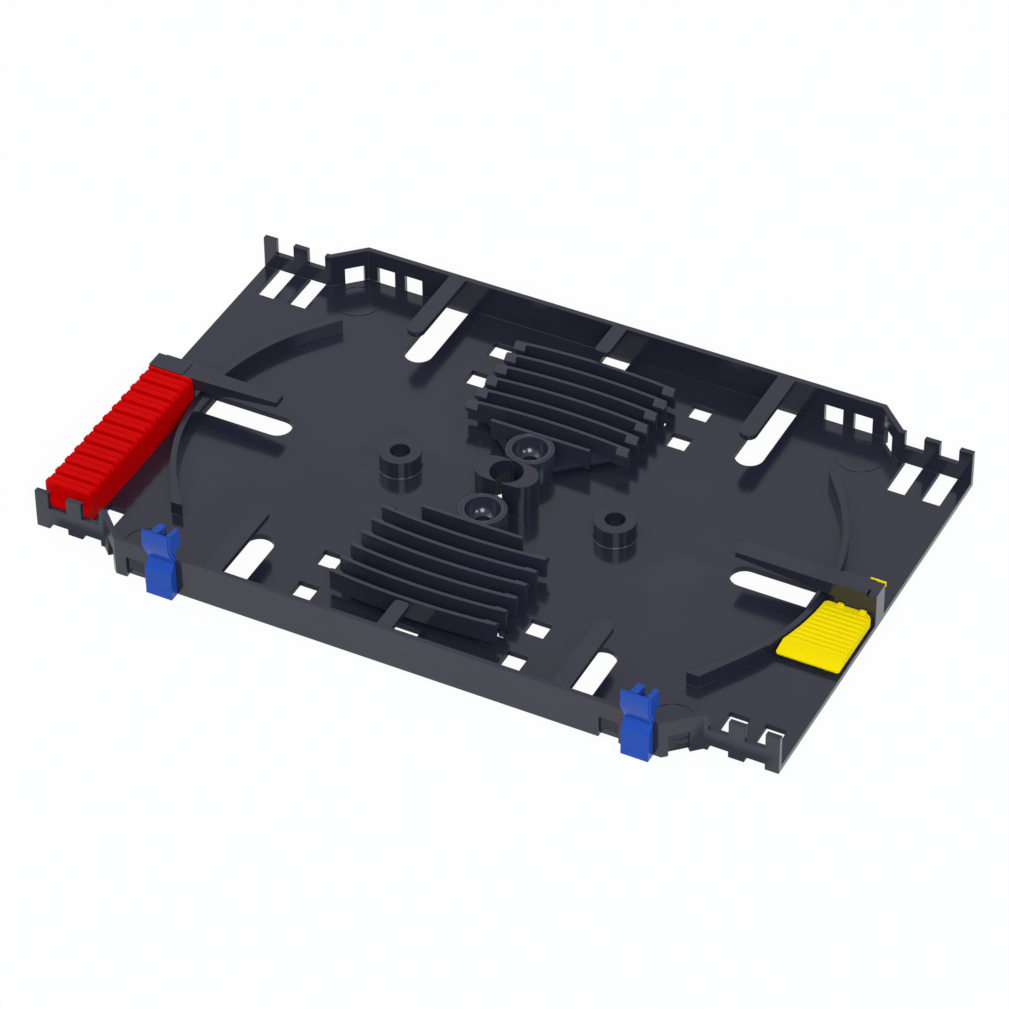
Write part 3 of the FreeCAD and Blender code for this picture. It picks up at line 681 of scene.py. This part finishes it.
# Yellow fibre comb and tab
GUIDE_X = 27.6
GUIDE_R = 58.95
YELLOW_LOW = 3.0
YELLOW_TOP = 5.15
YELLOW_X1 = 99.7
YELLOW_REAR = -2.65
YELLOW_RAMP = -19.8
YELLOW_DROP = 1.75
YELLOW_FRONT = -23.5
YELLOW_EDGE = 0.2
YELLOW_GAP = 0.45
YELLOW_ARC_STEPS = 14
YELLOW_ARC_REAR = 0.9
YELLOW_FRONT_LEFT = ((83.2, 0.7), (83.4, 0.15), (83.9, 0.0))  # x, step back from the front
YELLOW_FRONT_R = 0.6
YELLOW_REAR_R = 2.8
YELLOW_REAR_LEFT = ((1.1, 0.0), (0.35, 0.25))  # steps right and forwards from the corner
YELLOW_FOOT_INSET = 1.5
YELLOW_FOOT_TOP = 3.1
LUGS_X = (91.1, 96.9)
LUG_HALF = 0.95
LUG_LOW = 4.0
LUG_TOP = 5.85
LUG_CORNER = 0.6
LUG_FRONT = YELLOW_REAR - 1.1
LUG_REAR = YELLOW_REAR - 0.05
YELLOW_RIBS = 10
YELLOW_PITCH = 1.54
YELLOW_RIB_GAP = 1.15
YELLOW_RIB_START = 1.1
YELLOW_RIB_END = 0.6
YELLOW_RIB = ((-0.55, -0.1), (-0.52, 0.02), (-0.28, 0.13), (0.0, 0.16), (0.28, 0.13),
              (0.52, 0.02), (0.55, -0.1))
RIB_SHARP = math.radians(50)
METRE = 1000.0

# Tab: x0, x1, y0, y1, z0, z1
TAB_HEAD = (95.9, 99.95, 2.87, 3.5, 9.6, 10.95)
TAB_LEG = (96.0, 97.6, 2.87, 3.25, FLOOR_TOP, 9.8)
TAB_EDGE = 0.12


def yellow_outline(inset):
    """Plan of the yellow comb: it follows the guide arc and has rounded corners."""
    radius = GUIDE_R + YELLOW_GAP + inset
    rear = YELLOW_REAR - inset
    front = YELLOW_FRONT + inset
    right = YELLOW_X1 - inset
    first_y = rear - YELLOW_ARC_REAR
    points = []
    for k in range(YELLOW_ARC_STEPS + 1):
        y = first_y + (YELLOW_RAMP - first_y) * k / YELLOW_ARC_STEPS
        points.append((GUIDE_X + math.sqrt(radius ** 2 - y ** 2), y))
    left = points[0][0]
    points += [(x + inset, front + y) for x, y in YELLOW_FRONT_LEFT]
    points += corner_arc(right - YELLOW_FRONT_R, front + YELLOW_FRONT_R, YELLOW_FRONT_R, 270, 3)
    points += corner_arc(right - YELLOW_REAR_R, rear - YELLOW_REAR_R, YELLOW_REAR_R, 0)
    points += [(left + x, rear - y) for x, y in YELLOW_REAR_LEFT]
    return points


def yellow_flange(material):
    """Flange with a ramp at its front and two lugs near its rear, on a smaller foot."""
    work = bmesh.new()
    upright(work, yellow_outline(0.0), YELLOW_LOW, YELLOW_TOP)
    bmesh.ops.bisect_plane(work, geom=work.verts[:] + work.edges[:] + work.faces[:],
                           plane_co=(0, YELLOW_RAMP * MM, 0), plane_no=(0, 1, 0), dist=1e-7)
    middle = (YELLOW_LOW + YELLOW_TOP) / 2 * MM
    for vert in work.verts:
        depth = YELLOW_RAMP - vert.co.y / MM
        if depth > HAIR and vert.co.z > middle:
            vert.co.z = (YELLOW_TOP
                         - YELLOW_DROP * depth / (YELLOW_RAMP - YELLOW_FRONT)) * MM
    upright(work, yellow_outline(YELLOW_FOOT_INSET), FLOOR_TOP, YELLOW_FOOT_TOP)
    arc = LUG_HALF - LUG_CORNER
    for x in LUGS_X:
        along_y(work, [(x - LUG_HALF, LUG_LOW), (x + LUG_HALF, LUG_LOW)]
                + corner_arc(x + arc, LUG_TOP - LUG_CORNER, LUG_CORNER, 0)
                + corner_arc(x - arc, LUG_TOP - LUG_CORNER, LUG_CORNER, 90),
                LUG_FRONT, LUG_REAR)
    flange = place_piece("yellow_flange", work, material)
    round_edges(flange, YELLOW_EDGE * MM)
    return flange


def yellow_ribs(material):
    """Ten low ribs from the guide arc to the right, grown from a rib that is a metre long."""
    work = bmesh.new()
    along_x(work, YELLOW_RIB, 0.0, METRE)
    ribs = place_piece("yellow_ribs", work, material)
    grow(ribs, rib_field_tree(),
         {"Count": YELLOW_RIBS, "Pitch": (0.0, YELLOW_PITCH * MM, 0.0),
          "Start": (0.0, (YELLOW_RAMP + YELLOW_RIB_START) * MM, YELLOW_TOP * MM),
          "Arc Centre": GUIDE_X * MM, "Arc Radius": (GUIDE_R + YELLOW_RIB_GAP) * MM,
          "Right End": (YELLOW_X1 - YELLOW_RIB_END) * MM, "Finish": material})
    smooth_faces(ribs)
    ribs.data.set_sharp_from_angle(angle=RIB_SHARP)
    return ribs


def yellow_insert(material):
    """The yellow comb: its flange with the low ribs on top."""
    flange = yellow_flange(material)
    for piece in (flange, yellow_ribs(material)):
        join_part(piece)
    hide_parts("yellow_fibre_comb")


def yellow_tab(material):
    """Hooked tab over the back of the right end wall, on a narrow leg."""
    work = bmesh.new()
    block(work, *TAB_HEAD)
    block(work, *TAB_LEG)
    tab = place_piece("yellow_tab", work, material)
    round_edges(tab, TAB_EDGE * MM)
    stand_in_for(tab, "yellow_post_tab")


# Tray moulding and clips
TRAY_EDGE = 0.12
CLIP_EDGE = 0.15
POST_X = 29.67
POST_R = 5.35
POST_OVERLAP = 0.05
FILLET_R = 0.32
FILLET_TOE = 0.02
FILLET = ((0.0, 0.32), (0.12, 0.29), (0.22, 0.22), (0.29, 0.12), (0.32, 0.0))
FOOT_SHARP = math.radians(50)

# Corners of the tray to move: their box (x0, x1, y0, y1, z0, z1) and the shift in x and in y
TRAY_SHIFTS = (
    ((-88.52, -88.48, -3.0, 3.0, -1.0, 12.0), -1.7, 0.0),   # step of the left end block
    ((88.48, 88.52, -3.0, 3.0, -1.0, 12.0), 0.6, 0.0),      # step of the right end block
    ((-68.0, -55.0, -4.0, 0.0, 6.0, 12.0), -0.8, 0.75),     # left arm's tip, front corner
    ((-68.0, -55.0, 0.0, 4.0, 6.0, 12.0), -0.8, -0.75),     # and rear corner
    ((97.0, 97.6, -4.0, 0.0, 9.5, 12.0), 0.13, 0.0),        # slit in the right end wall
    ((97.6, 98.4, -4.0, 0.0, 9.5, 12.0), -0.17, 0.0),
    ((97.0, 97.6, 0.0, 1.2, 9.5, 12.0), 0.13, -1.7),        # and its rear end
    ((97.6, 98.4, 0.0, 1.2, 9.5, 12.0), -0.17, -1.7),
    ((-2.2, 2.2, -54.2, -52.4, 9.0, 12.0), 0.0, -1.4),      # front middle finger's tip
)


def post_feet(material):
    """Small hollow fillets where the two round posts meet the floor."""
    inside = POST_R - POST_OVERLAP
    underside = FLOOR_TOP - POST_OVERLAP
    profile = ([(inside, underside), (POST_R + FILLET_R + FILLET_TOE, underside)]
               + [(POST_R + FILLET_R - x, FLOOR_TOP + FILLET_R - z) for x, z in FILLET]
               + [(inside, FLOOR_TOP + FILLET_R)])
    work = bmesh.new()
    for x in (-POST_X, POST_X):
        turned_ring(work, (x, 0), profile)
    feet = place_piece("post_feet", work, material)
    smooth_faces(feet)
    feet.data.set_sharp_from_angle(angle=FOOT_SHARP)
    join_part(feet)


def fit_tray(work):
    """Moves a few corners of the tray to where the photograph shows them."""
    for vert in work.verts:
        place = vert.co / MM
        for box, right, back in TRAY_SHIFTS:
            if all(box[2 * k] < place[k] < box[2 * k + 1] for k in range(3)):
                vert.co.x += right * MM
                vert.co.y += back * MM


# The scene; colours are linear
add_camera()
add_world()
add_floor()
add_lamp("side", (-0.9, -0.45, 1.25), 0.9, 4.0)
add_lamp("front", (0.62, -1.02, 0.85), 0.6, 12.0, (0.90, 0.95, 1.0))
add_lamp("right", (1.35, -0.30, 0.85), 0.35, 5.0, (0.60, 0.80, 1.0))

tray_plastic = moulded_plastic("tray_plastic", (0.015, 0.0165, 0.027), roughness=0.14,
                               specular=0.5, grain=0.08, drift=0.10)
comb_plastic = moulded_plastic("comb_plastic", (0.019, 0.021, 0.034), roughness=0.17,
                               specular=0.55, grain=0.08, drift=0.10)
red_plastic = moulded_plastic("red_plastic", (0.545, 0.0004, 0.0008), roughness=0.42,
                              specular=0.03, grain=0.12, drift=0.05)
yellow_plastic = moulded_plastic("yellow_plastic", (0.74, 0.575, 0.0012), roughness=0.42,
                                 specular=0.03, grain=0.12, drift=0.03)
blue_plastic = moulded_plastic("blue_plastic", (0.006, 0.054, 0.325), roughness=0.30,
                               specular=0.20, grain=0.12, drift=0.05)

finish_moulding("tray_base", tray_plastic, TRAY_EDGE, adjust=fit_tray)
post_feet(tray_plastic)
for node in ("left_wall_clip", "right_wall_clip"):
    finish_moulding(node, blue_plastic, CLIP_EDGE)
repeat = repeat_tree()
splice_comb("rear_splice_comb", repeat, comb_plastic, half_turn=False)
splice_comb("front_splice_comb", repeat, comb_plastic, half_turn=True)
red_insert(repeat, red_plastic)
yellow_insert(yellow_plastic)
yellow_tab(yellow_plastic)

scene = bpy.context.scene
scene.view_settings.view_transform = "Standard"
